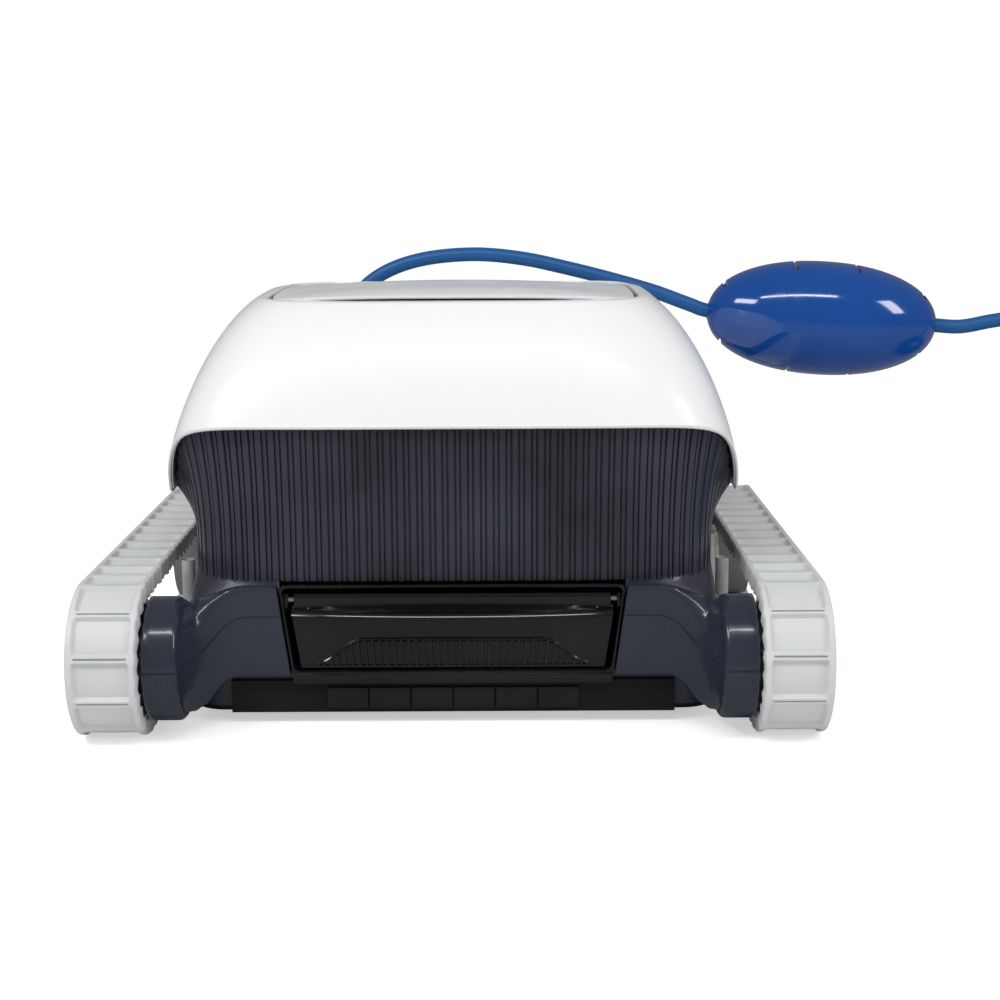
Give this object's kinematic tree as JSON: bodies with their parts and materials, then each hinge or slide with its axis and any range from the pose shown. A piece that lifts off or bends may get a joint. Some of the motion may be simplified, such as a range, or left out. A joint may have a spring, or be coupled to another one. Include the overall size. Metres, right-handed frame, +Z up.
{
  "type": "robotic pool cleaner",
  "caption": "Tracked robotic pool cleaner with a domed hood over a ribbed hull, lift-up lid and filter basket, drain flap, scrubbing brush, and a coiled floating cable with an egg-shaped float.",
  "frame": {"origin": "on the floor, under the middle of the machine without its cable", "axes": "+X across the tracks, +Y from the drain flap end to the brush end, +Z up"},
  "size_m": [0.836, 0.366, 0.2486],
  "materials": {
    "hood_white": "glossy moulded white, faint orange peel",
    "slate_gloss": "glossy moulded slate",
    "slate_grille": "satin ribbed slate",
    "black_gloss": "glossy black",
    "black_matte": "matte black moulded",
    "lid_grey": "satin light grey",
    "cover_grey": "matte light grey",
    "track_grey": "smooth light grey rubber",
    "wheel_grey": "matte grey moulded",
    "flap_rubber": "black rubber",
    "acetal": "ivory bearing plastic",
    "stainless": "brushed stainless steel",
    "motor_alloy": "cast, lightly blasted",
    "motor_case": "matte sealed housing",
    "board_green": "solder-masked board",
    "filter_blue": "matte blue moulded",
    "filter_screen": "fine woven screen",
    "foam": "closed-cell foam",
    "brush_rubber": "soft ribbed rubber",
    "cable_blue": "smooth blue foamed jacket",
    "float_blue": "glossy deep blue"
  },
  "bodies": {
    "chassis": {"hood": "hood_white", "upper_hull": "slate_grille", "lower_tub": "slate_gloss", "bottom_plate": "black_matte", "base_screws": "stainless", "arm_front_left": "slate_gloss", "arm_front_right": "slate_gloss", "arm_rear_left": "slate_gloss", "arm_rear_right": "slate_gloss", "recess_housing": "black_gloss", "drain_flap_pin": "stainless", "wiper_flaps": "flap_rubber", "side_cover_left": "cover_grey", "side_cover_right": "cover_grey", "track_left": "track_grey", "track_right": "track_grey", "wheel_axles": "stainless", "axle_screws": "stainless", "shaft_seals": "flap_rubber", "motor_housing": "motor_case", "motor_cover": "motor_case", "drive_motors": "motor_alloy", "control_board": "board_green", "pump_motor": "motor_alloy", "impeller_ring": "cover_grey", "outlet_grille": "black_matte", "inner_deck": "cover_grey", "foam_blocks": "foam", "filter_frame": "filter_blue", "filter_mesh": "filter_screen", "intake_flap_pins": "stainless", "lid_pin": "stainless", "brush_bearings": "acetal", "cable_gland": "black_matte", "cable": "cable_blue", "cable_coil": "cable_blue", "cable_plug": "black_matte", "float_left": "float_blue", "float_right": "float_blue"},
    "lid": {"lid": "lid_grey"},
    "drain_flap": {"drain_flap": "black_gloss"},
    "intake_flap_left": {"intake_flap_left": "flap_rubber"},
    "intake_flap_right": {"intake_flap_right": "flap_rubber"},
    "front_left_wheel": {"wheel_front_left": "wheel_grey", "bush_front_left": "acetal"},
    "front_right_wheel": {"wheel_front_right": "wheel_grey", "bush_front_right": "acetal"},
    "rear_left_wheel": {"wheel_rear_left": "wheel_grey", "bush_rear_left": "acetal"},
    "rear_right_wheel": {"wheel_rear_right": "wheel_grey", "bush_rear_right": "acetal"},
    "left_drive": {"drive_sprocket_left": "acetal", "drive_shaft_left": "stainless"},
    "right_drive": {"drive_sprocket_right": "acetal", "drive_shaft_right": "stainless"},
    "brush": {"brush_core": "wheel_grey", "brush_blades": "brush_rubber"},
    "impeller": {"impeller": "acetal", "impeller_shaft": "stainless"}
  },
  "joints": [
    {"name": "lid_hinge", "type": "hinge", "parent": "chassis", "child": "lid", "pos_m": [0, 0.064, 0.2215], "axis": [-1, 0, 0], "range_deg": [0, 76]},
    {"name": "drain_flap_hinge", "type": "hinge", "parent": "chassis", "child": "drain_flap", "pos_m": [0, -0.124, 0.0695], "axis": [-1, 0, 0], "range_deg": [0, 35]},
    {"name": "intake_flap_left_hinge", "type": "hinge", "parent": "chassis", "child": "intake_flap_left", "pos_m": [-0.042, -0.0145, 0.0666], "axis": [-1, 0, 0], "range_deg": [0, 75]},
    {"name": "intake_flap_right_hinge", "type": "hinge", "parent": "chassis", "child": "intake_flap_right", "pos_m": [0.042, -0.0145, 0.0666], "axis": [-1, 0, 0], "range_deg": [0, 75]},
    {"name": "rear_left_wheel_spin", "type": "hinge", "parent": "chassis", "child": "rear_left_wheel", "pos_m": [-0.1815, 0.14, 0.0415], "axis": [1, 0, 0], "continuous": true},
    {"name": "front_left_wheel_spin", "type": "hinge", "parent": "chassis", "child": "front_left_wheel", "pos_m": [-0.1815, -0.14, 0.0415], "axis": [1, 0, 0], "continuous": true},
    {"name": "left_drive_spin", "type": "hinge", "parent": "chassis", "child": "left_drive", "pos_m": [-0.16, 0.06, 0.052], "axis": [1, 0, 0], "continuous": true},
    {"name": "rear_right_wheel_spin", "type": "hinge", "parent": "chassis", "child": "rear_right_wheel", "pos_m": [0.1815, 0.14, 0.0415], "axis": [1, 0, 0], "continuous": true},
    {"name": "front_right_wheel_spin", "type": "hinge", "parent": "chassis", "child": "front_right_wheel", "pos_m": [0.1815, -0.14, 0.0415], "axis": [1, 0, 0], "continuous": true},
    {"name": "right_drive_spin", "type": "hinge", "parent": "chassis", "child": "right_drive", "pos_m": [0.16, 0.06, 0.052], "axis": [1, 0, 0], "continuous": true},
    {"name": "brush_spin", "type": "hinge", "parent": "chassis", "child": "brush", "pos_m": [0, 0.156, 0.028], "axis": [1, 0, 0], "continuous": true},
    {"name": "impeller_spin", "type": "hinge", "parent": "chassis", "child": "impeller", "pos_m": [0, 0.102, 0.11], "axis": [0, 1, 0], "continuous": true}
  ],
  "couplings": [
    {"joint": "front_left_wheel_spin", "follows": "rear_left_wheel_spin", "ratio": 1},
    {"joint": "left_drive_spin", "follows": "rear_left_wheel_spin", "ratio": 1.7275},
    {"joint": "front_right_wheel_spin", "follows": "rear_right_wheel_spin", "ratio": 1},
    {"joint": "right_drive_spin", "follows": "rear_right_wheel_spin", "ratio": 1.7275},
    {"joint": "brush_spin", "follows": "rear_right_wheel_spin", "ratio": 1.5}
  ]
}
